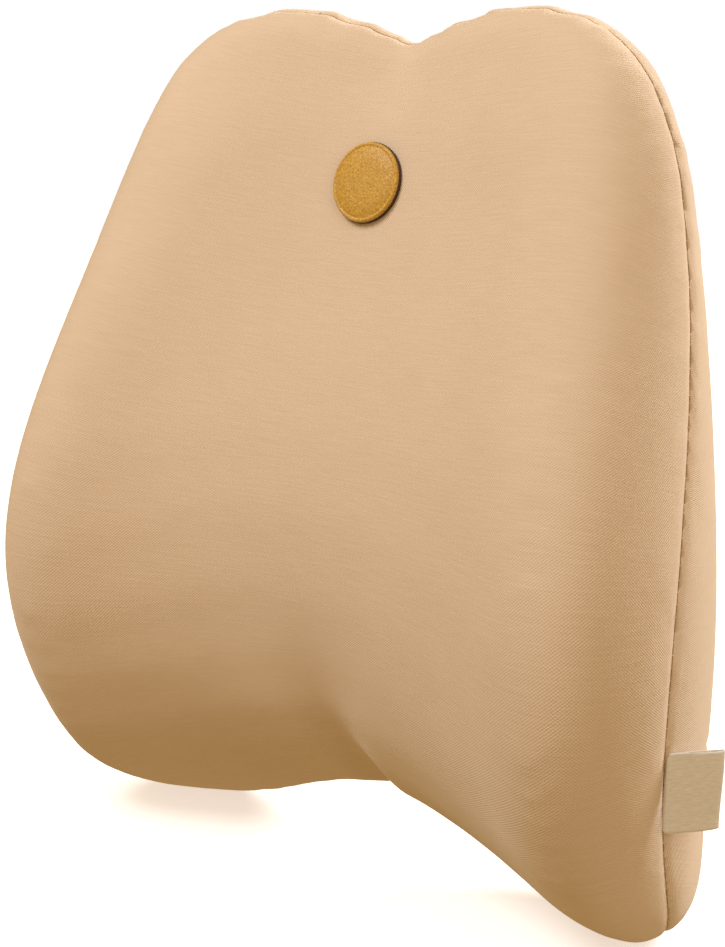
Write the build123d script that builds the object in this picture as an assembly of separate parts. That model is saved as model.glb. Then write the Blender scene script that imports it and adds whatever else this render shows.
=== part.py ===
from build123d import *
import math
import os

# Lumbar support cushion: a moulded foam core in an inner liner and a zipped knit cover, with a
# round badge and a ribbon label, and an elastic strap with a buckle across the back.
# Millimetres, +Z up. The front faces -Y. The origin is on the ground under the middle of the box.

# Overall shape
MID_HEIGHT = 203.0
HALF_HEIGHT = 200.0
HALF_WIDTH = 182.0
DEPTH_SHIFT = 31.2

# Right half of the outline seen from the front, from the notch between the shoulders to the
# notch between the feet, as (x, z)
OUTLINE = [
    (0, 392.5), (43.5, 406), (84, 405.5), (123, 388), (147, 348), (162, 289), (176, 216),
    (182, 141.5), (176, 59), (159.5, 7), (125, 0), (73, 12.5), (18, 32.5), (0, 34.5),
]
OUTLINE_SAMPLES = 260
FRONT_RIM = 59.0
FRONT_RIM_GROWTH = 13.0
BACK_RIM = 55.0
STATIONS = 10
PROFILE_STEPS = 16
SIDE_FLAT = 0.5

# Layers, each as a distance in from the outside of the cover
COVER_THICKNESS = 1.8
LINER_INSET = 3.4
LINER_THICKNESS = 0.8
FOAM_INSET = 4.5

# Flat band of the back panel that rests against the chair
REST_BAND_CUT = 0.9

# Zip across the lower back
ZIP_HEIGHT = 99.0
ZIP_HALF_LENGTH = 122.0
ZIP_PITCH = 2.0
ZIP_SLOT_HALF = 4.6
TAPE_WIDTH = 11.0
TAPE_THICKNESS = 0.7
TAPE_EDGE = 2.2
TOOTH_WIDTH = 0.8
TOOTH_REACH = 1.4
TOOTH_HEIGHT = 2.4
SLIDER_LENGTH = 10.0
SLIDER_WIDTH = 8.2
PULL_LENGTH = 26.0
PULL_WIDTH = 6.2

# Elastic strap and its buckle
STRAP_HEIGHT = 239.0
STRAP_WIDTH = 38.0
STRAP_THICKNESS = 1.6
STRAP_ANCHOR = 122.0
PATCH_WIDTH = 16.0
STRAP_LOW = 4.3
STRAP_HIGH = 9.7
BUCKLE_LEVEL = 7.0
BUCKLE_WIDTH = 50.0
BUCKLE_THICKNESS = 10.0

# Badge and label
BADGE_HEIGHT = 328.0
BADGE_RADIUS = 18.5
BADGE_LAYER = 1.6
BADGE_GAP = 0.8
LABEL_LOW = 74.0
LABEL_TALL = 34.0
LABEL_LENGTH = 22.5
LABEL_ANGLE = 70.5
LABEL_THICKNESS = 0.5
LABEL_BELLY = 1.5


def level(z):
    return (z - MID_HEIGHT) / HALF_HEIGHT


def front_y(x, z):
    v = level(z)
    belly = 58.2 - 36.6 * v - 55.3 * v**2 + 50.6 * v**3
    return DEPTH_SHIFT - belly - 76.3 * (x / HALF_WIDTH) ** 2


def back_y(z):
    v = level(z)
    return DEPTH_SHIFT + 28.9 - 13.9 * v + 10.8 * v**2


def back_slope(z):
    return (-13.9 + 21.6 * level(z)) / HALF_HEIGHT


def seam_y(x, z):
    v = level(z)
    w = x / HALF_WIDTH
    return DEPTH_SHIFT + 28.5 * v + 12.3 * v**2 - 43.6 * v**3 - 3.1 * w**2 - 41.1 * w**4


# The half outline moved inwards, as closely spaced (x, z) points
def inset_outline(inset):
    edge = Spline(*[(x, 0, z) for x, z in OUTLINE])
    points = [(0.0, OUTLINE[0][1] - inset)]
    for k in range(OUTLINE_SAMPLES + 1):
        place = edge @ (k / OUTLINE_SAMPLES)
        along = edge % (k / OUTLINE_SAMPLES)
        x = place.X + along.Z * inset
        z = place.Z - along.X * inset
        if x > 0:
            points.append((x, z))
    points.append((0.0, OUTLINE[-1][1] + inset))
    return points


# Lowest and highest height of the outline at one x
def outline_span(x, outline):
    widest = max(range(len(outline)), key=lambda k: outline[k][0])
    upper = outline[: widest + 1]
    lower = outline[widest:][::-1]
    heights = []
    for branch in (lower, upper):
        for (x0, z0), (x1, z1) in zip(branch, branch[1:]):
            if x0 <= x <= x1 and x1 > x0:
                heights.append(z0 + (z1 - z0) * (x - x0) / (x1 - x0))
                break
    return heights[0], heights[1]


# Distance from a point inside to the outline
def rim_distance(x, z, outline):
    nearest = HALF_WIDTH
    for (x0, z0), (x1, z1) in zip(outline, outline[1:]):
        dx, dz = x1 - x0, z1 - z0
        t = ((x - x0) * dx + (z - z0) * dz) / (dx * dx + dz * dz + 1e-12)
        t = min(1.0, max(0.0, t))
        nearest = min(nearest, math.hypot(x - x0 - t * dx, z - z0 - t * dz))
    return nearest


# Share of the full depth at a distance in from the rim: a quarter ellipse
def rim_share(distance, rim):
    if distance >= rim:
        return 1.0
    return math.sqrt(1 - (1 - distance / rim) ** 2)


def body_depths(x, z, inset, distance):
    seam = seam_y(x, z)
    front_rim = FRONT_RIM + FRONT_RIM_GROWTH * level(z) - inset
    front = seam + (front_y(x, z) + inset - seam) * rim_share(distance, front_rim)
    back = seam + (back_y(z) - inset - seam) * rim_share(distance, BACK_RIM - inset)
    return front, back


# Points on the front (0) or back (1) of the body: one list for each x, from the seam below to
# the seam above, everywhere set in from the outside of the cover
def sheet_points(panel, inset):
    outline = inset_outline(inset)
    reach = max(x for x, z in outline) - SIDE_FLAT
    rows = []
    for i in range(-STATIONS, STATIONS + 1):
        x = reach * math.sin(math.pi / 2 * i / STATIONS)
        low, high = outline_span(abs(x), outline)
        row = []
        for j in range(PROFILE_STEPS + 1):
            z = low + (high - low) * (1 - math.cos(math.pi * j / PROFILE_STEPS)) / 2
            at_seam = j in (0, PROFILE_STEPS)
            distance = 0.0 if at_seam else rim_distance(abs(x), z, outline)
            row.append((x, body_depths(x, z, inset, distance)[panel], z))
        rows.append(row)
    return rows


def triangle(a, b, c):
    return Face(Wire.make_polygon([a, b, c], close=True))


# Faces between two rows of points
def strip(first, second):
    faces = []
    for a, b, c, d in zip(first, first[1:], second[1:], second):
        faces += [triangle(a, b, c), triangle(a, c, d)]
    return faces


def sheet_faces(rows):
    faces = []
    for first, second in zip(rows, rows[1:]):
        faces += strip(first, second)
    return faces


# The seam as one closed ring of points, up one side and down the other
def seam_ring(rows):
    lower = [row[0] for row in rows]
    upper = [row[-1] for row in rows]
    return lower + upper[::-1] + lower[:1]


def end_caps(rows):
    return [Face(Wire.make_polygon(row, close=True)) for row in (rows[0], rows[-1])]


# One panel of a soft layer, as a closed shell that ends at the seam
def panel_solid(panel, inset, thickness):
    outer = sheet_points(panel, inset)
    inner = sheet_points(panel, inset + thickness)
    faces = sheet_faces(outer) + sheet_faces(inner) + end_caps(outer) + end_caps(inner)
    faces += strip(seam_ring(outer), seam_ring(inner))
    return Solid(Shell(faces))


# The whole closed body at one inset
def body(inset):
    front = sheet_points(0, inset)
    back = sheet_points(1, inset)
    faces = sheet_faces(front) + sheet_faces(back) + end_caps(front) + end_caps(back)
    return Solid(Shell(faces))


# Frame on the back panel at a height: X to the right for somebody behind, Y up, Z out
def back_plane(height):
    normal = Vector(0, 1, -back_slope(height)).normalized()
    return Plane(origin=(0, back_y(height), height), x_dir=(-1, 0, 0), z_dir=normal)


def block(x_range, y_range, z_range):
    size = [b - a for a, b in (x_range, y_range, z_range)]
    middle = [(a + b) / 2 for a, b in (x_range, y_range, z_range)]
    return Pos(*middle) * Box(*size)


ZIP_PLANE = back_plane(ZIP_HEIGHT)
STRAP_PLANE = back_plane(STRAP_HEIGHT)
SLIDER_X = ZIP_HALF_LENGTH - 4.0
TAPE_TOP = -COVER_THICKNESS - 0.7


def on_zip(shape):
    return ZIP_PLANE.location * shape


def on_strap(shape):
    return STRAP_PLANE.location * shape


def zip_slot(margin, deep):
    reach = ZIP_HALF_LENGTH + 8.0
    half = ZIP_SLOT_HALF + margin
    return on_zip(block((-reach, reach), (-half, half), (-deep, 12)))


def label_plane():
    height = LABEL_LOW + LABEL_TALL / 2
    outline = inset_outline(0)
    side = min(outline, key=lambda p: abs(p[1] - height) + (0 if p[0] > 100 else 1e6))
    angle = math.radians(LABEL_ANGLE)
    root = (side[0] - 0.4, seam_y(side[0], height), LABEL_LOW)
    return Plane(origin=root, x_dir=(math.cos(angle), math.sin(angle), 0), z_dir=(0, 0, 1))


# The plane that the two lower lobes rest against, just inside their rearmost points
def rest_level():
    return max(y for row in sheet_points(1, 0) for x, y, z in row) - REST_BAND_CUT


def covers():
    slot = label_plane().location * block((-2.7, 6), (-1.8, 1.3), (-0.2, LABEL_TALL + 0.2))
    front = panel_solid(0, 0, COVER_THICKNESS) - slot
    back = panel_solid(1, 0, COVER_THICKNESS) - zip_slot(0, 12) - slot
    back -= block((-260, 260), (rest_level(), 200), (20, ZIP_HEIGHT - 12))
    upper = on_zip(block((-260, 260), (0, 460), (-200, 60)))
    return front, back & upper, back - upper


def liner():
    return body(LINER_INSET) - body(LINER_INSET + LINER_THICKNESS) - zip_slot(1.2, 8)


def foam():
    return body(FOAM_INSET) - zip_slot(1.2, 8)


def zip_tape(side):
    reach = ZIP_HALF_LENGTH + 6.0
    edges = sorted((side * TAPE_EDGE, side * (TAPE_EDGE + TAPE_WIDTH)))
    return on_zip(block((-reach, reach), edges, (TAPE_TOP - TAPE_THICKNESS, TAPE_TOP)))


# One row of zip teeth: a comb whose teeth reach past the middle, between the other row's teeth
def zip_teeth(side):
    start = -ZIP_HALF_LENGTH + 6.0 + (ZIP_PITCH / 2 if side < 0 else 0)
    count = int((SLIDER_X - 3.0 - start) / ZIP_PITCH)
    spine = TAPE_EDGE + 1.4
    points = [(start, side * spine)]
    for k in range(count):
        x = start + k * ZIP_PITCH
        points += [(x, side * TAPE_EDGE), (x, -side * TOOTH_REACH)]
        points += [(x + TOOTH_WIDTH, -side * TOOTH_REACH), (x + TOOTH_WIDTH, side * TAPE_EDGE)]
    points.append((points[-1][0], side * spine))
    row = extrude(make_face(Polyline(*points, close=True)), amount=TOOTH_HEIGHT, dir=(0, 0, 1))
    return on_zip(Pos(0, 0, TAPE_TOP) * row)


# Two plates joined by a post, with an arch on top that holds the pull
def zip_slider():
    half = SLIDER_LENGTH / 2
    plate = extrude(SlotOverall(SLIDER_LENGTH, SLIDER_WIDTH), amount=1.4, dir=(0, 0, 1))
    top = Pos(0, 0, 0.5) * plate
    bottom = Pos(0, 0, TAPE_TOP - TAPE_THICKNESS - 0.3 - 1.4) * plate
    post = block((half - 2.6, half - 0.8), (-1.2, 1.2), (-4.0, 1.0))
    arch = block((-3.4, 3.4), (-0.9, 0.9), (1.9, 5.2)) - block((-2.3, 2.3), (-2, 2), (1.0, 4.2))
    arch = fillet(arch.edges().filter_by(Axis.Y).group_by(Axis.Z)[-1], 0.9)
    return on_zip(Pos(SLIDER_X, 0, 0) * (top + bottom + post + arch))


PULL_PIVOT = (SLIDER_X, 0, 3.0)


# Flat tab with an eye round the slider's arch, lying over the chain
def zip_pull():
    outline = Pos(-PULL_LENGTH / 2 + 0.8, 0) * RectangleRounded(PULL_LENGTH, PULL_WIDTH, 2.0)
    eye = Pos(-2.9, 0) * RectangleRounded(4.4, 3.2, 0.5)
    hole = Pos(-PULL_LENGTH + 6.5, 0) * SlotOverall(7, 2.6)
    tab = extrude(outline - eye - hole, amount=0.6, both=True)
    return on_zip(Pos(*PULL_PIVOT) * tab)


def zip_stops():
    x = SLIDER_X + SLIDER_LENGTH / 2 + 0.5
    spans = ((1.6, 3.6), (-3.6, -1.6))
    return [on_zip(block((x, x + 2), span, (TAPE_TOP, TAPE_TOP + TOOTH_HEIGHT))) for span in spans]


def zip_end_stop():
    x = -ZIP_HALF_LENGTH + 2.0
    return on_zip(block((x, x + 3), (-3.2, 3.2), (TAPE_TOP, TAPE_TOP + TOOTH_HEIGHT)))


# Webbing that follows a line of (x, out) points, rounded at its bends
def webbing(points, radii):
    line = FilletPolyline(*[(x, 0, w) for x, w in points], radius=radii)
    ribbon = trace(Plane.XZ.to_local_coords(line), STRAP_THICKNESS)
    return on_strap(extrude(Plane.XZ.location * ribbon, amount=STRAP_WIDTH / 2, both=True))


SEWN_LEVEL = 0.3 + STRAP_THICKNESS / 2


def strap_left():
    points = [(-STRAP_ANCHOR, SEWN_LEVEL), (-96, SEWN_LEVEL), (-82, STRAP_LOW), (-18.2, STRAP_LOW)]
    points += [(-18.2, STRAP_HIGH), (-34, STRAP_HIGH), (-46, 6.3), (-64, 6.3)]
    return webbing(points, [8, 8, 1.3, 1.3, 8, 8])


def strap_right():
    points = [(STRAP_ANCHOR, SEWN_LEVEL), (104, SEWN_LEVEL), (95, STRAP_LOW), (41, STRAP_LOW)]
    points += [(41, STRAP_HIGH), (58, STRAP_HIGH), (72, 10.9), (87.6, 10.9), (87.6, 6.5), (77, 6.5)]
    return webbing(points, [8, 8, 1.3, 1.3, 8, 8, 1.3, 1.3])


def strap_patch(side):
    face = RectangleRounded(PATCH_WIDTH, STRAP_WIDTH + 6, 2)
    patch = extrude(face, amount=0.8, dir=(0, 0, 1))
    middle = side * (STRAP_ANCHOR + 1 - PATCH_WIDTH / 2)
    return on_strap(Pos(middle, 0, SEWN_LEVEL + STRAP_THICKNESS / 2) * patch)


# Female half: a flat shell open on the plug's side, with a press window in each edge
def buckle_socket():
    half = BUCKLE_WIDTH / 2
    outline = Pos(24, 0) * RectangleRounded(44, BUCKLE_WIDTH, 7)
    shell = extrude(outline, amount=BUCKLE_THICKNESS / 2, both=True)
    shell = chamfer(shell.faces().filter_by(Axis.Z).edges(), 1.4)
    shell -= block((0, 36), (-20, 20), (-3.2, 3.2))
    for side in (-1, 1):
        window = extrude(Pos(22, side * half) * SlotOverall(18, 14), amount=3.2, both=True)
        shell -= window
    shell -= extrude(Pos(41, 0) * RectangleRounded(3.2, 40, 1), amount=10, both=True)
    shell -= block((42, 60), (-20, 20), (1.6, 9)) + block((42, 60), (-20, 20), (-9, -1.6))
    return on_strap(Pos(0, 0, BUCKLE_LEVEL) * shell)


# Male half: a base with the strap slot, two spring arms and a guide between them
def buckle_plug():
    base = extrude(Pos(-11.2, 0) * RectangleRounded(25.8, 46, 5), amount=4.4, both=True)
    base = chamfer(base.faces().filter_by(Axis.Z).edges(), 1.2)
    base -= extrude(Pos(-18.2, 0) * RectangleRounded(3.4, 40, 1), amount=10, both=True)
    base -= block((-40, -19), (-20, 20), (1.6, 9)) + block((-40, -19), (-20, 20), (-9, -1.6))
    for side in (-1, 1):
        arm = Pos(17, side * 15.6) * RectangleRounded(34, 5.6, 2.4)
        pad = Pos(23, side * 16.6) * RectangleRounded(14, 5.8, 2.6)
        base += extrude(arm + pad, amount=2.8, both=True)
    base += extrude(Pos(14, 0) * RectangleRounded(32, 7, 2), amount=2.4, both=True)
    return on_strap(Pos(0, 0, BUCKLE_LEVEL) * base)


# Frame that the strap runs through: two low outer bars, a high middle bar and two side rails
def strap_adjuster():
    low, high = 1.0, 9.8
    frame = block((74, 77), (-24, 24), (low, 3.2)) + block((89, 92), (-24, 24), (low, 3.2))
    frame += block((82, 85), (-24, 24), (7.6, high))
    for side in (-1, 1):
        frame += block((74, 92), sorted((side * 20.4, side * 24)), (low, high))
    frame = fillet(frame.edges().filter_by(Axis.Z).filter_by(lambda e: abs(e.center().Y) > 23), 1.6)
    return on_strap(frame)


def badge_plane():
    z = BADGE_HEIGHT
    slope = (front_y(0, z + 1) - front_y(0, z - 1)) / 2
    normal = Vector(0, -1, slope).normalized()
    base = Plane(origin=(0, front_y(0, z), z), x_dir=(1, 0, 0), z_dir=normal)
    outline = inset_outline(0)
    lift = 0.0
    for k in range(24):
        x = BADGE_RADIUS * math.cos(math.pi * k / 12)
        up = BADGE_RADIUS * math.sin(math.pi * k / 12)
        y, _ = body_depths(x, z + up, 0, rim_distance(abs(x), z + up, outline))
        lift = max(lift, base.to_local_coords(Vector(x, y, z + up)).Z)
    return base.offset(lift + BADGE_GAP)


def badge_backing():
    disc = extrude(Circle(BADGE_RADIUS), amount=BADGE_LAYER, dir=(0, 0, 1))
    return badge_plane().location * chamfer(disc.edges(), 0.3)


def badge_face():
    disc = extrude(Circle(BADGE_RADIUS - 0.3), amount=BADGE_LAYER, dir=(0, 0, 1))
    disc = fillet(disc.edges().group_by(Axis.Z)[-1], 0.6)
    ring = Circle(BADGE_RADIUS - 2.0) - Circle(BADGE_RADIUS - 2.6)
    disc -= Pos(0, 0, BADGE_LAYER - 0.3) * extrude(ring, amount=1, dir=(0, 0, 1))
    return badge_plane().location * (Pos(0, 0, BADGE_LAYER) * disc)


# Ribbon folded in half, sewn in at its root and open towards its fold
def side_label():
    root = LABEL_THICKNESS / 2 + 0.05
    near = [(-2.4, root), (2, root), (0.55 * LABEL_LENGTH, LABEL_BELLY), (LABEL_LENGTH, 0.7)]
    far = [(x, -side) for x, side in near[::-1]]
    line = FilletPolyline(*near, *far, radius=[20, 12, 0.6, 0.6, 12, 20])
    band = trace(line, LABEL_THICKNESS)
    return label_plane().location * extrude(band, amount=LABEL_TALL, dir=(0, 0, 1))


def model():
    front_cover, back_cover_upper, back_cover_lower = covers()
    return {
        "front_cover": front_cover,
        "back_cover_upper": back_cover_upper,
        "back_cover_lower": back_cover_lower,
        "inner_liner": liner(),
        "foam_core": foam(),
        "zip_tape_upper": zip_tape(1),
        "zip_tape_lower": zip_tape(-1),
        "zip_teeth_upper": zip_teeth(1),
        "zip_teeth_lower": zip_teeth(-1),
        "zip_slider": zip_slider(),
        "zip_pull": zip_pull(),
        "zip_top_stops": Compound(children=zip_stops()),
        "zip_end_stop": zip_end_stop(),
        "badge_face": badge_face(),
        "badge_backing": badge_backing(),
        "side_label": side_label(),
        "strap_left": strap_left(),
        "strap_right": strap_right(),
        "strap_patch_left": strap_patch(-1),
        "strap_patch_right": strap_patch(1),
        "buckle_socket": buckle_socket(),
        "buckle_plug": buckle_plug(),
        "strap_adjuster": strap_adjuster(),
    }


os.makedirs("parts", exist_ok=True)
for node, shape in model().items():
    export_step(shape, f"parts/{node}.step")
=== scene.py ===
import math

import bmesh
import bpy
import numpy as np
from mathutils import Matrix, Vector, noise
from mathutils.bvhtree import BVHTree
from mathutils.kdtree import KDTree


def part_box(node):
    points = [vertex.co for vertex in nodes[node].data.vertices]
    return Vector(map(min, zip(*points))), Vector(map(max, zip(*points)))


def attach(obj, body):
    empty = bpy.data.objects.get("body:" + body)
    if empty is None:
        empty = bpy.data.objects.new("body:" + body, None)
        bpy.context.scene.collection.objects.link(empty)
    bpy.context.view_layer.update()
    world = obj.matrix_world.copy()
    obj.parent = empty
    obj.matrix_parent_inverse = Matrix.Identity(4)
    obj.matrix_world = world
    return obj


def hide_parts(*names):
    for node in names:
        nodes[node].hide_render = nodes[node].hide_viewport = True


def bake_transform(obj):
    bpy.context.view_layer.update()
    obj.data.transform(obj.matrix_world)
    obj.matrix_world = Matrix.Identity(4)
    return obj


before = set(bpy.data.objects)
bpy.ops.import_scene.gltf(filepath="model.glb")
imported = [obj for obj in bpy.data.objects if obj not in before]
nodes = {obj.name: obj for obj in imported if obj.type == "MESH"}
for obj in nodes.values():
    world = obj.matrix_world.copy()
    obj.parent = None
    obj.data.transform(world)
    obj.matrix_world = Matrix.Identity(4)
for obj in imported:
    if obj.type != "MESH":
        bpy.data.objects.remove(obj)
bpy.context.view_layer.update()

scene = bpy.context.scene


def linkPiece(name, mesh, material, replaced=(), body="cushion"):
    piece = bpy.data.objects.new(name, mesh)
    scene.collection.objects.link(piece)
    piece.data.materials.clear()
    piece.data.materials.append(material)
    if body:
        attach(piece, body)
    if replaced:
        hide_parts(*replaced)
    return piece


def finishMesh(bm, name, smooth=True):
    mesh = bpy.data.meshes.new(name)
    bm.to_mesh(mesh)
    bm.free()
    if smooth:
        mesh.shade_smooth()
    return mesh


def readPoints(mesh, kind="co"):
    points = np.zeros(len(mesh.vertices) * 3)
    mesh.vertices.foreach_get(kind, points)
    return points.reshape(-1, 3)


def readNormals(mesh):
    return readPoints(mesh, "normal")


def writePoints(mesh, points):
    mesh.vertices.foreach_set("co", points.astype(np.float32).ravel())
    mesh.update()


def appliedMesh(piece):
    graph = bpy.context.evaluated_depsgraph_get()
    return bpy.data.meshes.new_from_object(piece.evaluated_get(graph))


# Local plane of the hardware on the back: right for someone behind, up, and out
def backPlane(height, depth, lean):
    out = Vector((0, 1, lean)).normalized()
    right = Vector((-1, 0, 0))
    plane = Matrix((right, out.cross(right), out)).transposed().to_4x4()
    plane.translation = (0, depth, height)
    return plane


zipPlane = backPlane(0.099, 0.07025, 0.12566)
strapPlane = backPlane(0.239, 0.05795, 0.05006)


# Short ways to write node trees
def startMaterial(name, roughness, **sockets):
    material = bpy.data.materials.new(name)
    material.use_nodes = True
    tree = material.node_tree
    shader = tree.nodes["Principled BSDF"]
    shader.inputs["Roughness"].default_value = roughness
    for key, value in sockets.items():
        shader.inputs[key.replace("_", " ")].default_value = value
    return material, tree, shader


def feed(tree, socket, value):
    if isinstance(value, bpy.types.NodeSocket):
        tree.links.new(value, socket)
    else:
        socket.default_value = value


def maths(tree, operation, first, second=0.0, clamp=False):
    node = tree.nodes.new("ShaderNodeMath")
    node.operation = operation
    node.use_clamp = clamp
    feed(tree, node.inputs[0], first)
    feed(tree, node.inputs[1], second)
    return node.outputs[0]


def remap(tree, value, low, high, toLow, toHigh):
    node = tree.nodes.new("ShaderNodeMapRange")
    node.interpolation_type = "SMOOTHSTEP"
    for socket, number in zip(node.inputs, (value, low, high, toLow, toHigh)):
        feed(tree, socket, number)
    return node.outputs[0]


def coordinates(tree, kind):
    source = tree.nodes.new("ShaderNodeTexCoord").outputs[kind]
    split = tree.nodes.new("ShaderNodeSeparateXYZ")
    tree.links.new(source, split.inputs[0])
    return source, split.outputs[0], split.outputs[1], split.outputs[2]


def joined(tree, x, y, z=0.0):
    node = tree.nodes.new("ShaderNodeCombineXYZ")
    for socket, value in zip(node.inputs, (x, y, z)):
        feed(tree, socket, value)
    return node.outputs[0]


# The same coordinates drawn out or packed together along each axis
def stretched(tree, *axes):
    return joined(tree, *(maths(tree, "MULTIPLY", value, times) for value, times in axes))


def speckle(tree, vector, scale, detail=2.0, roughness=0.5):
    node = tree.nodes.new("ShaderNodeTexNoise")
    feed(tree, node.inputs["Vector"], vector)
    node.inputs["Scale"].default_value = scale
    node.inputs["Detail"].default_value = detail
    node.inputs["Roughness"].default_value = roughness
    return node.outputs["Fac"]


def cells(tree, vector, scale, feature="F1"):
    node = tree.nodes.new("ShaderNodeTexVoronoi")
    node.feature = feature
    feed(tree, node.inputs["Vector"], vector)
    node.inputs["Scale"].default_value = scale
    return node.outputs["Distance"]


def ramp(tree, value, *stops):
    node = tree.nodes.new("ShaderNodeValToRGB")
    feed(tree, node.inputs[0], value)
    while len(node.color_ramp.elements) < len(stops):
        node.color_ramp.elements.new(0.5)
    for element, (place, colour) in zip(node.color_ramp.elements, stops):
        element.position = place
        element.color = (*colour, 1)
    return node.outputs[0]


def blendColours(tree, factor, first, second, kind="MIX"):
    node = tree.nodes.new("ShaderNodeMix")
    node.data_type = "RGBA"
    node.blend_type = kind
    feed(tree, node.inputs[0], factor)
    feed(tree, node.inputs[6], first)
    feed(tree, node.inputs[7], second)
    return node.outputs[2]


def bumps(tree, shader, *layers):
    previous = None
    for height, strength, distance in layers:
        node = tree.nodes.new("ShaderNodeBump")
        node.inputs["Strength"].default_value = strength
        node.inputs["Distance"].default_value = distance
        feed(tree, node.inputs["Height"], height)
        if previous:
            tree.links.new(previous, node.inputs["Normal"])
        previous = node.outputs[0]
    tree.links.new(previous, shader.inputs["Normal"])


# Two crossed waves, which give the offset dots of a bird-eye knit or a plain weave
def crossedYarns(tree, u, v, pitchU, pitchV):
    across = maths(tree, "SINE", maths(tree, "MULTIPLY", u, 2 * math.pi / pitchU))
    along = maths(tree, "SINE", maths(tree, "MULTIPLY", v, 2 * math.pi / pitchV))
    return maths(tree, "MULTIPLY", across, along)


knit = {
    "yarnDark": (0.565, 0.425, 0.305), "yarnLight": (0.725, 0.58, 0.45),
    "columnPitch": 0.0013, "rowPitch": 0.0011, "sheen": 0.35,
}


def knitMaterial():
    material, tree, shader = startMaterial(
        "beigeBirdEyeKnit", 0.92, Sheen_Weight=knit["sheen"], Sheen_Roughness=0.45,
        Specular_IOR_Level=0.18)
    shader.inputs["Sheen Tint"].default_value = (1.0, 0.93, 0.84, 1)
    _, u, v, _ = coordinates(tree, "UV")
    place, _, _, _ = coordinates(tree, "Object")
    yarns = crossedYarns(tree, u, v, knit["columnPitch"], knit["rowPitch"])
    # Thick and thin yarn shows as faint streaks along the rows
    slubs = speckle(tree, stretched(tree, (u, 55), (v, 1100)), 1, 3, 0.6)
    fuzz = speckle(tree, place, 2600, 2, 0.6)
    patches = speckle(tree, place, 9, 2, 0.5)
    # Painted shade: within about 0.9 mm of the seam the knit is blended to a dark brown, which stands for the
    # shade in the seam's groove
    seam = tree.nodes.new("ShaderNodeAttribute")
    seam.attribute_name = "seamShadeDistance"
    seamShadeFade = remap(tree, seam.outputs["Fac"], 0.0, 0.0009, 0.0, 1.0)
    tone = maths(tree, "MULTIPLY_ADD", yarns, 0.16)
    tone.node.inputs[2].default_value = 0.06
    tone = maths(tree, "ADD", tone, maths(tree, "MULTIPLY", slubs, 0.42))
    tone = maths(tree, "ADD", tone, maths(tree, "MULTIPLY", fuzz, 0.28))
    tone = maths(tree, "ADD", tone, maths(tree, "MULTIPLY", patches, 0.30))
    colour = ramp(tree, tone, (0.2, knit["yarnDark"]), (0.85, knit["yarnLight"]))
    shaded = blendColours(tree, seamShadeFade, (0.36, 0.20, 0.095, 1), colour)
    tree.links.new(shaded, shader.inputs["Base Color"])
    bumps(tree, shader, (slubs, 0.25, 0.0004), (yarns, 0.35, 0.00022), (fuzz, 0.3, 0.0002))
    return material


def wovenMaterial(name, dark, light, pitch, axes=(0, 2), rib=0.0, roughness=0.8, sheen=0.2):
    material, tree, shader = startMaterial(name, roughness, Sheen_Weight=sheen)
    place, *split = coordinates(tree, "Object")
    u, v = split[axes[0]], split[axes[1]]
    yarns = crossedYarns(tree, u, v, pitch, pitch * 0.9)
    streaks = speckle(tree, stretched(tree, (u, 60), (v, 700)), 1, 2)
    fuzz = speckle(tree, place, 2200, 2)
    tone = maths(tree, "ADD", maths(tree, "MULTIPLY", yarns, 0.2), maths(tree, "MULTIPLY", streaks, 0.5))
    tone = maths(tree, "ADD", tone, maths(tree, "MULTIPLY", fuzz, 0.4))
    layers = [(yarns, 0.5, 0.0003), (fuzz, 0.3, 0.00015)]
    if rib:
        ribs = maths(tree, "SINE", maths(tree, "MULTIPLY", v, 2 * math.pi / rib))
        tone = maths(tree, "ADD", tone, maths(tree, "MULTIPLY", ribs, 0.07))
        layers.insert(0, (ribs, 0.6, 0.0005))
    tree.links.new(ramp(tree, tone, (0.15, dark), (0.8, light)), shader.inputs["Base Color"])
    bumps(tree, shader, *layers)
    return material


def plasticMaterial(name, dark, light, roughness, grain=0.12):
    material, tree, shader = startMaterial(name, roughness)
    place, _, _, _ = coordinates(tree, "Object")
    mottle = speckle(tree, place, 60, 3)
    skin = speckle(tree, place, 3200, 2)
    tree.links.new(ramp(tree, mottle, (0.3, dark), (0.75, light)), shader.inputs["Base Color"])
    gloss = remap(tree, mottle, 0.2, 0.8, roughness - 0.06, roughness + 0.08)
    tree.links.new(gloss, shader.inputs["Roughness"])
    bumps(tree, shader, (skin, grain, 0.0001))
    return material


def metalMaterial():
    material, tree, shader = startMaterial("brushedNickel", 0.32, Metallic=1.0)
    place, x, y, z = coordinates(tree, "Object")
    brush = speckle(tree, stretched(tree, (x, 200), (y, 4000), (z, 4000)), 1, 3)
    wear = speckle(tree, place, 420, 4)
    colour = ramp(tree, wear, (0.3, (0.42, 0.39, 0.35)), (0.7, (0.66, 0.63, 0.58)))
    tree.links.new(colour, shader.inputs["Base Color"])
    tree.links.new(remap(tree, brush, 0.2, 0.8, 0.24, 0.42), shader.inputs["Roughness"])
    bumps(tree, shader, (brush, 0.15, 0.00008))
    return material


def leatherMaterial(name, dark, light, roughness):
    material, tree, shader = startMaterial(name, roughness, Specular_IOR_Level=0.45)
    place, _, _, _ = coordinates(tree, "Object")
    grain = cells(tree, place, 1500, "SMOOTH_F1")
    pores = speckle(tree, place, 900, 5, 0.65)
    tone = maths(tree, "ADD", maths(tree, "MULTIPLY", grain, 0.45), maths(tree, "MULTIPLY", pores, 0.65))
    tree.links.new(ramp(tree, tone, (0.3, dark), (0.72, light)), shader.inputs["Base Color"])
    gloss = remap(tree, pores, 0.2, 0.8, roughness + 0.1, roughness - 0.08)
    tree.links.new(gloss, shader.inputs["Roughness"])
    bumps(tree, shader, (grain, 0.55, 0.00025), (pores, 0.4, 0.00012))
    return material


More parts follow.
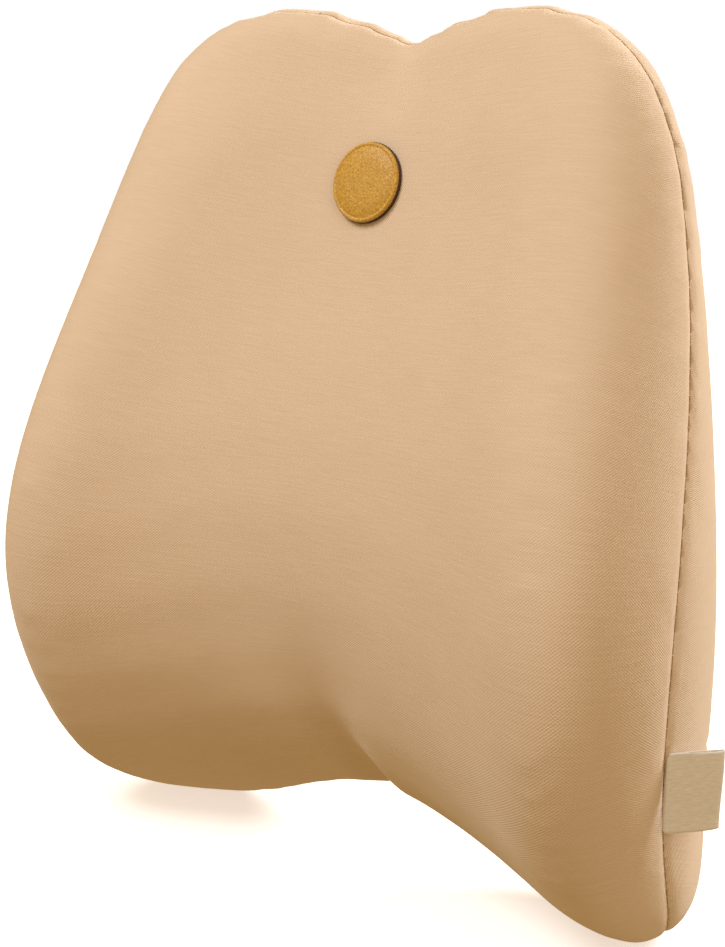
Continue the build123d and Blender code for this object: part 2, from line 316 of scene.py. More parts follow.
def satinMaterial():
    material, tree, shader = startMaterial("satinRibbon", 0.42, Sheen_Weight=0.3, Anisotropic=0.4)
    place, x, y, z = coordinates(tree, "Object")
    weft = maths(tree, "SINE", maths(tree, "MULTIPLY", z, 2 * math.pi / 0.0005))
    warp = speckle(tree, stretched(tree, (x, 300), (y, 300), (z, 3200)), 1, 2)
    tone = maths(tree, "ADD", maths(tree, "MULTIPLY", weft, 0.06), warp)
    colour = ramp(tree, tone, (0.3, (0.66, 0.63, 0.60)), (0.7, (0.83, 0.80, 0.77)))
    tree.links.new(colour, shader.inputs["Base Color"])
    bumps(tree, shader, (weft, 0.3, 0.00008), (warp, 0.35, 0.00012))
    return material


def foamMaterial():
    material, tree, shader = startMaterial("slowFoam", 0.95)
    place, _, _, _ = coordinates(tree, "Object")
    pores = cells(tree, place, 700)
    colour = ramp(tree, pores, (0.1, (0.75, 0.66, 0.45)), (0.6, (0.92, 0.87, 0.72)))
    tree.links.new(colour, shader.inputs["Base Color"])
    bumps(tree, shader, (pores, 0.6, 0.0006))
    return material


materials = {
    "knit": knitMaterial(),
    "liner": wovenMaterial("creamLinerKnit", (0.66, 0.64, 0.58), (0.88, 0.86, 0.81), 0.0016),
    "foam": foamMaterial(),
    "zipTape": wovenMaterial("zipTapeWeave", (0.42, 0.28, 0.16), (0.66, 0.48, 0.31), 0.0009),
    "zipCoil": plasticMaterial("zipCoilNylon", (0.44, 0.30, 0.18), (0.60, 0.43, 0.28), 0.42),
    "metal": metalMaterial(),
    "badgeLeather": leatherMaterial("mustardLeather", (0.33, 0.165, 0.018), (0.66, 0.39, 0.06), 0.5),
    # Painted shade: the badge backing is a real leather disc, but its near-black colour stands for the shaded
    # side wall on the badge's right and lower edge
    "badgeEdge": leatherMaterial("leatherEdgePaintedShade", (0.022, 0.010, 0.006), (0.075, 0.035, 0.02), 0.6),
    "ribbon": satinMaterial(),
    "webbing": wovenMaterial("elasticWebbing", (0.26, 0.175, 0.10), (0.55, 0.41, 0.275), 0.0014, rib=0.0024),
    "plastic": plasticMaterial("brownAcetal", (0.20, 0.135, 0.085), (0.30, 0.21, 0.14), 0.44),
    "thread": wovenMaterial("stitchThread", (0.58, 0.40, 0.24), (0.80, 0.60, 0.40), 0.0006),
}
print("materials made")


cushion = {
    "voxel": 0.005, "pressure": 4.0, "frames": 20, "smoothPasses": 5,
    "leastSwell": 0.0034, "mostSwell": 0.0064, "quickSwell": 0.0045, "asideShare": 0.3, "asideMost": 0.0015,
    "followMould": 0.8, "mouldAbove": 0.009, "mouldReach": 0.02, "evenPasses": 22,
    "foamSink": 0.0022, "linerSink": 0.0010, "coverWall": 0.0011,
    "creaseDepth": 0.018, "creaseFoot": 0.030, "creaseTop": 0.145, "creaseWidth": 0.0075,
    "creaseFlare": 0.022, "valleyDepth": 0.0035, "valleyFoot": 0.335, "valleyRise": 0.05, "valleyWidth": 0.02,
    "seamDepth": 0.0011, "seamWidth": 0.0020, "rollDepth": 0.0005, "rollWidth": 0.009,
    "pucker": 0.0005, "puckerStart": 0.003, "puckerReach": 0.014, "slotHalf": 0.0046, "slotReach": 0.122,
}


panelNodes = {
    "front_cover": "coverFront", "back_cover_upper": "coverBackUpper", "back_cover_lower": "coverBackLower",
}


# Depth of the seam as a curve over the height and the width, each counted from the middle to the edge
seamCurve = {
    "middleHeight": 0.203, "halfHeight": 0.2, "halfWidth": 0.182, "depth": 0.0312,
    "overHeight": (0.0285, 0.0123, -0.0436), "overWidth": (-0.0031, -0.0411),
}


# How far back the sewn seam between the front and the back panel lies
def seamLine(x, z):
    v = (z - seamCurve["middleHeight"]) / seamCurve["halfHeight"]
    w = x / seamCurve["halfWidth"]
    first, second, third = seamCurve["overHeight"]
    square, fourth = seamCurve["overWidth"]
    return seamCurve["depth"] + first * v + second * v**2 + third * v**3 + square * w**2 + fourth * w**4


# The fold that rises from between the feet, and the faint valley under the upper notch
def creased(points):
    x, y, z = points.T
    front = np.clip((seamLine(x, z) - y) / 0.02, 0, 1)
    rise = np.clip((z - cushion["creaseFoot"]) / (cushion["creaseTop"] - cushion["creaseFoot"]), 0, 1)
    width = cushion["creaseWidth"] + cushion["creaseFlare"] * rise
    fold = cushion["creaseDepth"] * (1 - rise) ** 1.6 * np.exp(-((x / width) ** 2))
    high = np.clip((z - cushion["valleyFoot"]) / cushion["valleyRise"], 0, 1)
    valley = cushion["valleyDepth"] * high * high * np.exp(-((x / cushion["valleyWidth"]) ** 2))
    moved = points.copy()
    moved[:, 1] += front * (fold + valley)
    return moved


def foamForm():
    bm = bmesh.new()
    bm.from_mesh(nodes["foam_core"].data)
    bmesh.ops.remove_doubles(bm, verts=bm.verts, dist=0.000001)
    form = bpy.data.objects.new("foamForm", finishMesh(bm, "foamForm"))
    scene.collection.objects.link(form)
    remesh = form.modifiers.new("even", "REMESH")
    remesh.mode = "VOXEL"
    remesh.voxel_size = cushion["voxel"]
    mesh = appliedMesh(form)
    bpy.data.objects.remove(form)
    bm = bmesh.new()
    bm.from_mesh(mesh)
    for _ in range(cushion["smoothPasses"]):
        bmesh.ops.smooth_vert(bm, verts=bm.verts, factor=0.5, use_axis_x=True, use_axis_y=True,
                              use_axis_z=True)
    return finishMesh(bm, "foamForm")


# Air pressure inside the fabric, as the cover fills out over the foam
def swollen(mesh):
    start, outward = readPoints(mesh), readNormals(mesh)
    form = bpy.data.objects.new("coverForm", mesh.copy())
    scene.collection.objects.link(form)
    cloth = form.modifiers.new("padding", "CLOTH")
    cloth.settings.use_pressure = True
    cloth.settings.uniform_pressure_force = cushion["pressure"]
    cloth.settings.effector_weights.gravity = 0
    cloth.settings.quality = 4
    scene.frame_start, scene.frame_end = 1, cushion["frames"]
    for step in range(1, cushion["frames"] + 1):
        scene.frame_set(step)
    moved = readPoints(appliedMesh(form))
    form.modifiers.clear()
    bpy.data.objects.remove(form)
    scene.frame_set(1)
    shift = moved - start
    rise = (shift * outward).sum(1)
    print("cloth rise, mm:", np.round(np.percentile(rise * 1000, (1, 25, 50, 75, 99)), 2))
    aside = (shift - rise[:, None] * outward) * cushion["asideShare"]
    aside = np.clip(aside, -cushion["asideMost"], cushion["asideMost"])
    rise = np.clip(rise, cushion["leastSwell"], cushion["mostSwell"])
    return start + outward * rise[:, None] + aside


# The moulded outer size, which the fabric keeps to closely round the hardware and loosely elsewhere
def mouldTree():
    bm = bmesh.new()
    for name in panelNodes:
        bm.from_mesh(nodes[name].data)
    bmesh.ops.remove_doubles(bm, verts=bm.verts, dist=0.000001)
    tree = BVHTree.FromBMesh(bm)
    bm.free()
    return tree


hold = {
    "zipHalf": 0.016, "zipReach": 0.134, "strapHalf": 0.026, "strapReach": 0.13, "fade": 0.02,
    "badgeHeight": 0.328, "badgeRadius": 0.022, "badgeFloor": 0.29,
    "labelSide": 0.181, "labelHeight": 0.091, "labelRadius": 0.02, "labelStretch": 0.6,
}


# From 0 on free fabric to 1 where the zip, the straps, the badge or the label is sewn on
def nearHardware(point):
    x, y, z = point
    rise = (z - hold["labelHeight"]) * hold["labelStretch"]
    gaps = [math.hypot(x - hold["labelSide"], rise) - hold["labelRadius"]]
    if y > seamLine(x, z):
        for plane, kind in ((zipPlane, "zip"), (strapPlane, "strap")):
            up = abs((plane.inverted() @ Vector(point)).y)
            gaps.append(max(up - hold[kind + "Half"], abs(x) - hold[kind + "Reach"]))
    elif z > hold["badgeFloor"]:
        gaps.append(math.hypot(x, z - hold["badgeHeight"]) - hold["badgeRadius"])
    return min(1, max(0, 1 - max(min(gaps), 0) / hold["fade"]))


def keptToMould(points, outward):
    tree = mouldTree()
    kept = points.copy()
    missed = 0
    for k, (point, way) in enumerate(zip(points, outward)):
        way = Vector(way)
        hit, _, _, _ = tree.ray_cast(Vector(point) + way * cushion["mouldAbove"], -way, cushion["mouldReach"])
        if hit is None:
            missed += 1
            continue
        near = nearHardware(point)
        share = cushion["followMould"] + (1 - cushion["followMould"]) * near
        kept[k] += share * (np.array(hit) - point)
    print("points without a mould surface:", missed, "of", len(points))
    return kept


def subdivided(mesh):
    form = bpy.data.objects.new("coverForm", mesh)
    scene.collection.objects.link(form)
    finer = form.modifiers.new("finer", "SUBSURF")
    finer.levels = finer.render_levels = 1
    result = appliedMesh(form)
    bpy.data.objects.remove(form)
    return result


def cutPlane(bm, faces, point, normal):
    edges = {edge for face in faces for edge in face.edges}
    verts = {vert for face in faces for vert in face.verts}
    bmesh.ops.bisect_plane(bm, geom=[*verts, *edges, *faces], dist=0.00001, plane_co=point, plane_no=normal)


# Cuts the cover along its seam and round the zip, and returns a mesh for each panel
def coverPanels(mesh):
    bm = bmesh.new()
    bm.from_mesh(mesh)
    for vert in bm.verts:
        vert.co.y -= seamLine(vert.co.x, vert.co.z)
    cutPlane(bm, bm.faces[:], (0, 0, 0), (0, 1, 0))
    side = bm.faces.layers.int.new("panel")
    for face in bm.faces:
        face[side] = 0 if face.calc_center_median().y < 0 else 1
    for vert in bm.verts:
        vert.co.y += seamLine(vert.co.x, vert.co.z)
    toZip = zipPlane.inverted()
    half, reach = cushion["slotHalf"], cushion["slotReach"]

    def backFaces(low, high):
        return [face for face in bm.faces if face[side] == 1
                and low < (toZip @ face.calc_center_median()).y < high]

    up = zipPlane.to_3x3() @ Vector((0, 1, 0))
    for level in (-half, 0, half):
        cutPlane(bm, backFaces(-0.02, 0.02), zipPlane @ Vector((0, level, 0)), up)
    for end in (-reach, reach):
        cutPlane(bm, backFaces(-half, half), (end, 0, 0), (1, 0, 0))
    bmesh.ops.dissolve_degenerate(bm, edges=bm.edges, dist=0.00005)
    for face in bm.faces:
        if face[side] == 1:
            spot = toZip @ face.calc_center_median()
            inSlot = abs(spot.y) < half and abs(spot.x) < reach
            face[side] = 3 if inSlot else (1 if spot.y > 0 else 2)
    bm.normal_update()
    outward = bm.verts.layers.float_vector.new("outward")
    for vert in bm.verts:
        vert[outward] = vert.normal
    panels = []
    for number in range(3):
        panel = bm.copy()
        layer = panel.faces.layers.int["panel"]
        others = [face for face in panel.faces if face[layer] != number]
        bmesh.ops.delete(panel, geom=others, context="FACES")
        panels.append(panel)
    bm.free()
    return panels


# Draws the fabric in along its sewn edges, with small puckers beside the seam
def sewEdges(bm, seamTree):
    # Distance to the seam, kept for the knit material's painted seam shade
    seamShadeFade = bm.verts.layers.float.new("seamShadeDistance")
    outward = bm.verts.layers.float_vector["outward"]
    for vert in bm.verts:
        normal = vert[outward].copy()
        _, _, distance = seamTree.find(vert.co)
        vert[seamShadeFade] = distance
        pull = cushion["seamDepth"] * math.exp(-((distance / cushion["seamWidth"]) ** 2))
        pull += cushion["rollDepth"] * math.exp(-((distance / cushion["rollWidth"]) ** 2))
        ripple = noise.noise(vert.co * 85) + 0.5 * noise.noise(vert.co * 190)
        fade = math.exp(-distance / cushion["puckerReach"]) * min(1, distance / cushion["puckerStart"])
        pull += cushion["pucker"] * ripple * fade
        vert.co -= normal * pull


# Lays the panel flat for its weave, in metres and upright
def layFlat(piece):
    bpy.context.view_layer.objects.active = piece
    piece.select_set(True)
    bpy.ops.object.mode_set(mode="EDIT")
    bpy.ops.mesh.select_all(action="SELECT")
    bpy.ops.uv.unwrap(method="CONFORMAL", margin=0)
    bpy.ops.object.mode_set(mode="OBJECT")
    piece.select_set(False)
    mesh = piece.data
    flat = np.zeros(len(mesh.loops) * 2)
    mesh.uv_layers.active.data.foreach_get("uv", flat)
    index = np.zeros(len(mesh.loops), int)
    mesh.loops.foreach_get("vertex_index", index)
    flat = flat.reshape(-1, 2)
    points = readPoints(mesh)[index]
    upright = points[:, 0] + 1j * points[:, 2]
    laid = flat[:, 0] + 1j * flat[:, 1]
    middle = np.abs(points[:, 0]) < 0.11
    best = None
    for candidate in (laid, laid.conj()):
        terms = np.stack([candidate[middle], np.ones(middle.sum())], 1)
        answer, *_ = np.linalg.lstsq(terms, upright[middle], rcond=None)
        error = np.abs(terms @ answer - upright[middle]).mean()
        if best is None or error < best[0]:
            best = (error, candidate * answer[0] + answer[1])
    error, laid = best
    flat = np.stack([laid.real, laid.imag], 1).astype(np.float32)
    mesh.uv_layers.active.data.foreach_set("uv", flat.ravel())
    print("laid flat:", piece.name, "mean error mm", round(error * 1000, 2))


# Averages each point with its neighbours, again and again
def relaxed(points, pairs, passes):
    count = len(points)
    neighbours = np.bincount(pairs.ravel(), minlength=count)[:, None]
    for _ in range(passes):
        total = np.stack([np.bincount(pairs[:, 0], points[pairs[:, 1], k], count)
                          + np.bincount(pairs[:, 1], points[pairs[:, 0], k], count) for k in range(3)], 1)
        points = 0.5 * points + 0.5 * total / neighbours
    return points


# Takes out short ripples and keeps the overall size
def evened(mesh, passes):
    pairs = np.zeros(len(mesh.edges) * 2, int)
    mesh.edges.foreach_get("vertices", pairs)
    pairs = pairs.reshape(-1, 2)
    points = readPoints(mesh)
    result = once = relaxed(points, pairs, passes)
    for _ in range(2):
        result = result + once - relaxed(result, pairs, passes)
    return result


# Evening rounds the lobes and wings off a little, so the form is drawn out to its moulded size
def fullSize(points):
    lows, highs = zip(*(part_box(name) for name in panelNodes))
    floor, top = min(low.z for low in lows), max(high.z for high in highs)
    wings = min(low.y for low in lows)
    x, y, z = points.T
    z = floor + (z - z.min()) * (top - floor) / (z.max() - z.min())
    y = np.where(y < 0, y * wings / y.min(), y)
    return np.stack([x, y, z], 1)


def makeCushion():
    base = foamForm()
    outward = readNormals(base)
    cover = base.copy()
    writePoints(cover, swollen(base))
    writePoints(cover, keptToMould(readPoints(cover), outward))
    writePoints(cover, fullSize(evened(cover, cushion["evenPasses"])))
    writePoints(cover, creased(readPoints(cover)))
    print("cover filled out")

    foamMesh, linerMesh = base.copy(), base.copy()
    plain = evened(base, cushion["evenPasses"])
    writePoints(foamMesh, creased(plain - outward * cushion["foamSink"]))
    writePoints(linerMesh, creased(plain - outward * cushion["linerSink"]))
    foam = linkPiece("foamCore", foamMesh, materials["foam"], ["foam_core"])
    liner = linkPiece("innerLiner", linerMesh, materials["liner"], ["inner_liner"])

    panels = coverPanels(subdivided(cover))
    toZip = zipPlane.inverted()
    edgeVerts = [vert.co.copy() for vert in panels[0].verts if vert.is_boundary]
    edgeVerts += [vert.co.copy() for vert in panels[1].verts if vert.is_boundary
                  and abs((toZip @ vert.co).y) < 0.0003 and abs(vert.co.x) > cushion["slotReach"] + 0.003]
    seamTree = KDTree(len(edgeVerts))
    for k, spot in enumerate(edgeVerts):
        seamTree.insert(spot, k)
    seamTree.balance()
    shell = bmesh.new()
    for panel, (node, name) in zip(panels, panelNodes.items()):
        sewEdges(panel, seamTree)
        piece = linkPiece(name, finishMesh(panel, name), materials["knit"], [node])
        shell.from_mesh(piece.data)
        layFlat(piece)
        wall = piece.modifiers.new("fabric", "SOLIDIFY")
        wall.thickness = cushion["coverWall"]
        wall.offset = -1
        if node == "front_cover":
            sewn = [vert.co.copy() for vert in shell.verts if vert.is_boundary]
    surface = BVHTree.FromBMesh(shell)
    shell.free()
    print("panels sewn")
    return sewn, surface


seamPoints, coverSurface = makeCushion()


badge = {"radius": 0.0185, "layer": 0.0016, "lineRadius": 0.0163, "lineDepth": 0.0003, "crown": 0.0003,
         "lean": 0.232, "steps": 96}


# Draws a line of edges out sideways into a strip
def drawnOut(bm, edges, steps, way):
    for _ in range(steps):
        made = bmesh.ops.extrude_edge_only(bm, edges=edges)
        edges = [part for part in made["geom"] if isinstance(part, bmesh.types.BMEdge)]
        far = {vert for edge in edges for vert in edge.verts}
        bmesh.ops.translate(bm, vec=way / steps, verts=list(far))


# A disc turned round its own middle from a list of (radius, height)
def turnedDisc(name, profile, plane, steps):
    bm = bmesh.new()
    verts = [bm.verts.new((radius, 0, height)) for radius, height in profile]
    edges = [bm.edges.new(pair) for pair in zip(verts, verts[1:])]
    bmesh.ops.spin(bm, geom=verts + edges, cent=(0, 0, 0), axis=(0, 0, 1), angle=2 * math.pi,
                   steps=steps, use_merge=True)
    bmesh.ops.remove_doubles(bm, verts=bm.verts, dist=0.00001)
    bmesh.ops.recalc_face_normals(bm, faces=bm.faces)
    bmesh.ops.transform(bm, matrix=plane, verts=bm.verts)
    return finishMesh(bm, name)


def makeBadge():
    low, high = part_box("badge_backing")
    facing = Vector((0, -1, badge["lean"])).normalized()
    side = Vector((1, 0, 0))
    plane = Matrix((side, facing.cross(side), facing)).transposed().to_4x4()
    plane.translation = (low + high) / 2 - facing * badge["layer"] / 2
    r, t, line, crown = badge["radius"], badge["layer"], badge["lineRadius"], badge["crown"]
    top = 2 * t
    backing = [(0, -0.0004), (r - 0.0006, -0.0004), (r - 0.0001, 0), (r, 0.0004), (r, t - 0.0003),
               (r - 0.0002, t), (0, t)]
    face = [(0, t), (r - 0.0004, t), (r - 0.0003, t + 0.0002), (r - 0.0003, top - 0.0008),
            (r - 0.0006, top - 0.0002), (r - 0.0011, top), (line + 0.0006, top),
            (line + 0.0003, top - 0.0002), (line, top - badge["lineDepth"]), (line - 0.0003, top - 0.0002),
            (line - 0.0006, top), (line * 0.6, top + crown * 0.6), (line * 0.3, top + crown * 0.9),
            (0, top + crown)]
    # The backing's near-black colour is painted shade on the badge's side wall
    mesh = turnedDisc("badgeBacking", backing, plane, badge["steps"])
    linkPiece("badgeBacking", mesh, materials["badgeEdge"], ["badge_backing"])
    mesh = turnedDisc("badgeFace", face, plane, badge["steps"])
    linkPiece("badgeFace", mesh, materials["badgeLeather"], ["badge_face"])
    print("badge made")


makeBadge()


label = {
    "root": (0.1801, -0.0142, 0.074), "angle": 58, "length": 0.0240, "tall": 0.034, "thickness": 0.00045,
    "sewnSide": 0.0003, "belly": 0.0015, "foldSide": 0.0005, "sewnFrom": -0.0024, "sewnTo": 0.0022,
    "rows": 8, "sway": 0.0007, "curl": 0.0006, "hem": 0.0055,
}


# Ribbon folded in half and sewn in at its root, open towards its fold
def makeLabel():
    root, length, belly = label["sewnSide"], label["length"], label["belly"]
    near = [(label["sewnFrom"], root), (label["sewnTo"], root), (0.55 * length, belly),
            (0.86 * length, 0.75 * belly), (length, label["foldSide"])]
    line = near + [(x, -side) for x, side in near[::-1]]
    bm = bmesh.new()
    verts = [bm.verts.new((x, side, 0)) for x, side in line]
    edges = [bm.edges.new(pair) for pair in zip(verts, verts[1:])]
    drawnOut(bm, edges, label["rows"], Vector((0, 0, label["tall"])))
    for vert in bm.verts:
        free = max(0, vert.co.x / length)
        vert.co.y += label["sway"] * free * math.sin(vert.co.z * 130 + 1.1)
        vert.co.z += label["curl"] * free * math.sin(vert.co.x * 260)
    bmesh.ops.recalc_face_normals(bm, faces=bm.faces)
    turn = Matrix.Translation(label["root"]) @ Matrix.Rotation(math.radians(label["angle"]), 4, "Z")
    bmesh.ops.transform(bm, matrix=turn, verts=bm.verts)
    mesh = finishMesh(bm, "sideLabel")
    piece = linkPiece("sideLabel", mesh, materials["ribbon"], ["side_label"])
    soft = piece.modifiers.new("soft", "SUBSURF")
    soft.levels = soft.render_levels = 2
    wall = piece.modifiers.new("ribbon", "SOLIDIFY")
    wall.thickness = label["thickness"]
    wall.offset = 0
    print("label made")


makeLabel()


strap = {
    "width": 0.038, "thickness": 0.0016, "selvedge": 0.0003, "anchor": 0.122,
    "sewn": 0.0011, "low": 0.0043, "high": 0.0097, "tail": 0.0063, "looseEnd": 0.0109, "barEnd": 0.0065,
    "slack": 0.003, "tight": 0.0013, "bendSegments": 4, "acrossSteps": 10, "longRun": 0.012, "runCuts": 8,
}


# A flat strap that follows (along, out) points on the strap's plane, with rounded bends
def webbingMesh(name, line, radii):
    bm = bmesh.new()
    width = strap["width"]
    verts = [bm.verts.new((x, -width / 2, out)) for x, out in line]
    edges = [bm.edges.new(pair) for pair in zip(verts, verts[1:])]
    drawnOut(bm, edges, strap["acrossSteps"], Vector((0, width, 0)))
    for (x, out), radius in zip(line[1:-1], radii):
        bend = [edge for edge in bm.edges
                if all(abs(v.co.x - x) < 1e-6 and abs(v.co.z - out) < 1e-6 for v in edge.verts)]
        bmesh.ops.bevel(bm, geom=bend, offset=radius, offset_type="OFFSET", segments=strap["bendSegments"],
                        profile=0.5, affect="EDGES", material=-1)
    longRuns = [edge for edge in bm.edges if edge.calc_length() > strap["longRun"]]
    bmesh.ops.subdivide_edges(bm, edges=longRuns, cuts=strap["runCuts"], use_grid_fill=True)
    bmesh.ops.recalc_face_normals(bm, faces=bm.faces)
    bmesh.ops.transform(bm, matrix=strapPlane, verts=bm.verts)
    return finishMesh(bm, name)


def thicken(piece):
    wall = piece.modifiers.new("webbing", "SOLIDIFY")
    wall.thickness = strap["thickness"]
    wall.offset = 0
    edge = piece.modifiers.new("selvedge", "BEVEL")
    edge.width = strap["selvedge"]
    edge.segments = 2
    edge.limit_method = "ANGLE"


def makeStraps():
    sewn, low, high, anchor = strap["sewn"], strap["low"], strap["high"], strap["anchor"]
    tail, looseEnd, barEnd = strap["tail"], strap["looseEnd"], strap["barEnd"]
    bends = [strap["slack"]] * 2 + [strap["tight"]] * 2
    left = [(-anchor, sewn), (-0.096, sewn), (-0.082, low), (-0.0182, low), (-0.0182, high), (-0.034, high),
            (-0.046, tail), (-0.064, tail)]
    mesh = webbingMesh("strapLeft", left, bends + bends[:2])
    piece = linkPiece("strapLeft", mesh, materials["webbing"], ["strap_left"], body=None)
    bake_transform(piece)
    thicken(piece)
    right = [(anchor, sewn), (0.104, sewn), (0.095, low), (0.041, low), (0.041, high), (0.0432, high)]
    mesh = webbingMesh("strapRight", right, bends)
    thicken(linkPiece("strapRight", mesh, materials["webbing"], ["strap_right"]))
    doubled = [(0.0432, high), (0.058, high), (0.072, looseEnd), (0.0876, looseEnd), (0.0876, barEnd),
               (0.077, barEnd)]
    mesh = webbingMesh("strapRightEnd", doubled, bends)
    piece = linkPiece("strapRightEnd", mesh, materials["webbing"], body=None)
    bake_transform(piece)
    thicken(piece)
    print("straps made")


makeStraps()


thread = {"radius": 0.00028, "length": 0.0024, "pitch": 0.0033}
seam = {"pitch": 0.0042, "sink": 0.0001, "length": 0.0018, "middle": 0.2}
zipStitch = {"reach": 0.1262, "half": 0.0078, "spacing": 0.004, "lift": 0.0001, "search": 0.01}


def addStitch(bm, middle, way, length):
    turn = way.to_track_quat("Z", "Y").to_matrix().to_4x4()
    bmesh.ops.create_cone(bm, cap_ends=True, segments=6, radius1=thread["radius"], radius2=thread["radius"],
                          depth=length, matrix=Matrix.Translation(middle) @ turn)


# Short stitches one after another along a line of points
def stitchesAlong(bm, points, closed=False):
    line = points + points[:1] if closed else points
    carried = 0.0
    for start, end in zip(line, line[1:]):
        way = end - start
        span = way.length
        place = carried
        while place < span:
            addStitch(bm, start + way * (place / span), way, thread["length"])
            place += thread["pitch"]
        carried = place - span


# Crosses the seam with one small stitch after another, half sunk in its groove
def makeSeamStitches():
    ring = sorted(seamPoints, key=lambda spot: math.atan2(spot.x, spot.z - seam["middle"]))
    bm = bmesh.new()
    carried = 0.0
    for start, end in zip(ring, ring[1:] + ring[:1]):
        way = end - start
        carried += way.length
        if carried < seam["pitch"] or way.length < 0.0002:
            continue
        carried = 0.0
        outward = way.cross(Vector((0, 1, 0))).normalized()
        if outward.dot(start - Vector((0, start.y, seam["middle"]))) < 0:
            outward.negate()
        addStitch(bm, start - outward * seam["sink"], outward.cross(way).normalized(), seam["length"])
    linkPiece("seamStitches", finishMesh(bm, "seamStitches"), materials["thread"])


# A line of stitches round the zip's opening, laid on the fabric
def makeZipStitches():
    wide, tall = zipStitch["reach"], zipStitch["half"]
    corners = [Vector((x * wide, y * tall, 0)) for x, y in ((-1, -1), (1, -1), (1, 1), (-1, 1), (-1, -1))]
    inward = zipPlane.to_3x3() @ Vector((0, 0, -1))
    line = []
    for start, end in zip(corners, corners[1:]):
        count = max(1, round((end - start).length / zipStitch["spacing"]))
        for k in range(count):
            spot = zipPlane @ (start + (end - start) * k / count)
            above = spot - inward * zipStitch["search"]
            hit, _, _, _ = coverSurface.ray_cast(above, inward, 2 * zipStitch["search"])
            if hit:
                line.append(hit - inward * zipStitch["lift"])
    bm = bmesh.new()
    stitchesAlong(bm, line, closed=True)
    linkPiece("zipStitches", finishMesh(bm, "zipStitches"), materials["thread"])


makeSeamStitches()
makeZipStitches()
print("stitches made")


patch = {"width": 0.016, "tall": 0.044, "thickness": 0.0008, "corner": 0.002, "rim": 0.0003, "inset": 0.0022}


def makePatches():
    level = strap["sewn"] + strap["thickness"] / 2
    for side, name in ((-1, "Left"), (1, "Right")):
        middle = side * (strap["anchor"] + 0.001 - patch["width"] / 2)
        bm = bmesh.new()
        bmesh.ops.create_grid(bm, x_segments=1, y_segments=1, size=0.5)
        bmesh.ops.scale(bm, vec=(patch["width"], patch["tall"], 1), verts=bm.verts)
        bmesh.ops.bevel(bm, geom=bm.verts[:], offset=patch["corner"], segments=4, profile=0.5,
                        affect="VERTICES", material=-1)
        made = bmesh.ops.extrude_face_region(bm, geom=bm.faces[:])
        top = [part for part in made["geom"] if isinstance(part, bmesh.types.BMVert)]
        bmesh.ops.translate(bm, vec=(0, 0, patch["thickness"]), verts=top)
        rim = [edge for edge in bm.edges if all(vert in top for vert in edge.verts)]
        bmesh.ops.bevel(bm, geom=rim, offset=patch["rim"], segments=2, profile=0.5,
                        affect="EDGES", material=-1)
        bmesh.ops.recalc_face_normals(bm, faces=bm.faces)
        bmesh.ops.translate(bm, vec=(middle, 0, level), verts=bm.verts)
        bmesh.ops.transform(bm, matrix=strapPlane, verts=bm.verts)
        mesh = finishMesh(bm, "strapPatch" + name, smooth=False)
        linkPiece("strapPatch" + name, mesh, materials["zipTape"],
                  ["strap_patch_" + name.lower()])
        wide, tall = patch["width"] / 2 - patch["inset"], patch["tall"] / 2 - patch["inset"]
        top = level + patch["thickness"]
        corners = [strapPlane @ Vector((middle + x * wide, y * tall, top))
                   for x, y in ((-1, -1), (1, -1), (1, 1), (-1, 1))]
        bm = bmesh.new()
        stitchesAlong(bm, corners, closed=True)
        stitchesAlong(bm, [corners[0], corners[2]])
        stitchesAlong(bm, [corners[1], corners[3]])
        linkPiece("patchStitches" + name, finishMesh(bm, "patchStitches"), materials["thread"])
    print("patches made")


makePatches()


for name, key in (("zip_tape_upper", "zipTape"), ("zip_tape_lower", "zipTape"), ("zip_teeth_upper", "zipCoil"),
                  ("zip_teeth_lower", "zipCoil"), ("zip_slider", "metal"), ("zip_pull", "metal"),
                  ("zip_top_stops", "metal"), ("zip_end_stop", "metal"), ("buckle_socket", "plastic"),
                  ("buckle_plug", "plastic"), ("strap_adjuster", "plastic")):
    nodes[name].data.materials.clear()
    nodes[name].data.materials.append(materials[key])


studio = {
    "azimuth": 38.925, "elevation": 10.872, "roll": 1.523, "distance": 0.90888,
    "aim": (-0.02135, 0.0312, 0.18905), "lens": 71.88,
    "floorSize": 9.0, "roomSize": 4.4, "roomGlow": 1.0, "floorGlow": 0.5, "glowNear": 0.3, "glowFar": 2.2,
    "world": (1.0, 0.68, 0.30), "worldStrength": 0.53,
}
lamps = {
    "key": {"back": 0.62, "right": -0.85, "up": 0.95, "distance": 1.7, "size": 0.8, "power": 18.5,
            "colour": (0.97, 0.99, 1.0)},
    "fill": {"back": 1.0, "right": 0.5, "up": 0.35, "distance": 2.2, "size": 1.4, "power": 9,
             "colour": (1, 0.97, 0.92)},
    "side": {"back": -0.35, "right": 1.0, "up": 0.75, "distance": 1.6, "size": 0.8, "power": 30,
             "colour": (0.98, 0.99, 1.0)},
}


def makeCamera():
    a, e, r = (math.radians(studio[key]) for key in ("azimuth", "elevation", "roll"))
    back = Vector((math.sin(a) * math.cos(e), -math.cos(a) * math.cos(e), math.sin(e)))
    right = Vector((math.cos(a), math.sin(a), 0))
    up = back.cross(right)
    turnedRight = right * math.cos(r) + up * math.sin(r)
    turnedUp = up * math.cos(r) - right * math.sin(r)
    data = bpy.data.cameras.new("camera")
    data.lens = studio["lens"]
    data.sensor_width = 36
    camera = bpy.data.objects.new("camera", data)
    place = Matrix((turnedRight, turnedUp, back)).transposed().to_4x4()
    place.translation = Vector(studio["aim"]) + back * studio["distance"]
    camera.matrix_world = place
    scene.collection.objects.link(camera)
    scene.camera = camera
    return right, up, back


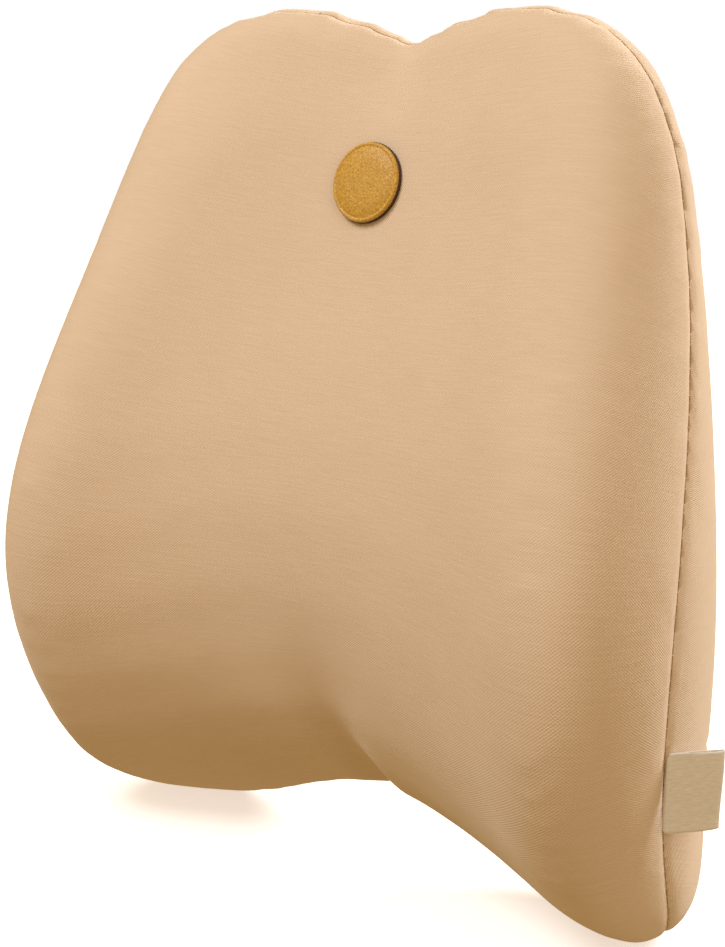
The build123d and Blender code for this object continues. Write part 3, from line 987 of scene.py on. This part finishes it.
# A round softbox, placed as seen from the camera
def makeLight(name, values, right, up, back):
    way = back * values["back"] + right * values["right"] + up * values["up"]
    data = bpy.data.lights.new(name, "AREA")
    data.shape = "DISK"
    data.size = values["size"]
    data.energy = values["power"]
    data.color = values["colour"]
    lamp = bpy.data.objects.new(name, data)
    lamp.location = Vector(studio["aim"]) + way.normalized() * values["distance"]
    lamp.rotation_euler = way.to_track_quat("Z", "Y").to_euler()
    scene.collection.objects.link(lamp)


# Floor and room are seen, but throw no light back on the cushion
def keepOffCushion(piece):
    piece.visible_diffuse = False
    piece.visible_glossy = False
    piece.visible_shadow = False
    scene.collection.objects.link(piece)


def makeRoom():
    material, tree, shader = startMaterial("paleFloor", 0.85)
    place, _, _, _ = coordinates(tree, "Object")
    colour = ramp(tree, speckle(tree, place, 3, 3), (0.3, (0.90, 0.895, 0.89)), (0.7, (0.93, 0.925, 0.92)))
    tree.links.new(colour, shader.inputs["Base Color"])
    away = tree.nodes.new("ShaderNodeVectorMath")
    away.operation = "LENGTH"
    tree.links.new(place, away.inputs[0])
    glow = remap(tree, away.outputs["Value"], studio["glowNear"], studio["glowFar"], studio["floorGlow"], 1.0)
    shader.inputs["Emission Color"].default_value = (1, 1, 1, 1)
    tree.links.new(glow, shader.inputs["Emission Strength"])
    bm = bmesh.new()
    bmesh.ops.create_grid(bm, x_segments=2, y_segments=2, size=studio["floorSize"] / 2)
    floor = bpy.data.objects.new("floor", finishMesh(bm, "floor"))
    floor.data.materials.append(material)
    keepOffCushion(floor)
    walls, _, _ = startMaterial("brightRoom", 1.0, Base_Color=(0, 0, 0, 1), Emission_Color=(1, 1, 1, 1),
                                Emission_Strength=studio["roomGlow"])
    bm = bmesh.new()
    bmesh.ops.create_icosphere(bm, subdivisions=4, radius=studio["roomSize"])
    room = bpy.data.objects.new("room", finishMesh(bm, "room"))
    room.data.materials.append(walls)
    keepOffCushion(room)


def makeStudio():
    axes = makeCamera()
    for name, values in lamps.items():
        makeLight(name, values, *axes)
    world = bpy.data.worlds.new("softRoom")
    world.use_nodes = True
    sky = world.node_tree.nodes["Background"]
    sky.inputs["Color"].default_value = (*studio["world"], 1)
    sky.inputs["Strength"].default_value = studio["worldStrength"]
    scene.world = world
    makeRoom()
    scene.view_settings.view_transform = "Standard"
    print("studio made")


makeStudio()
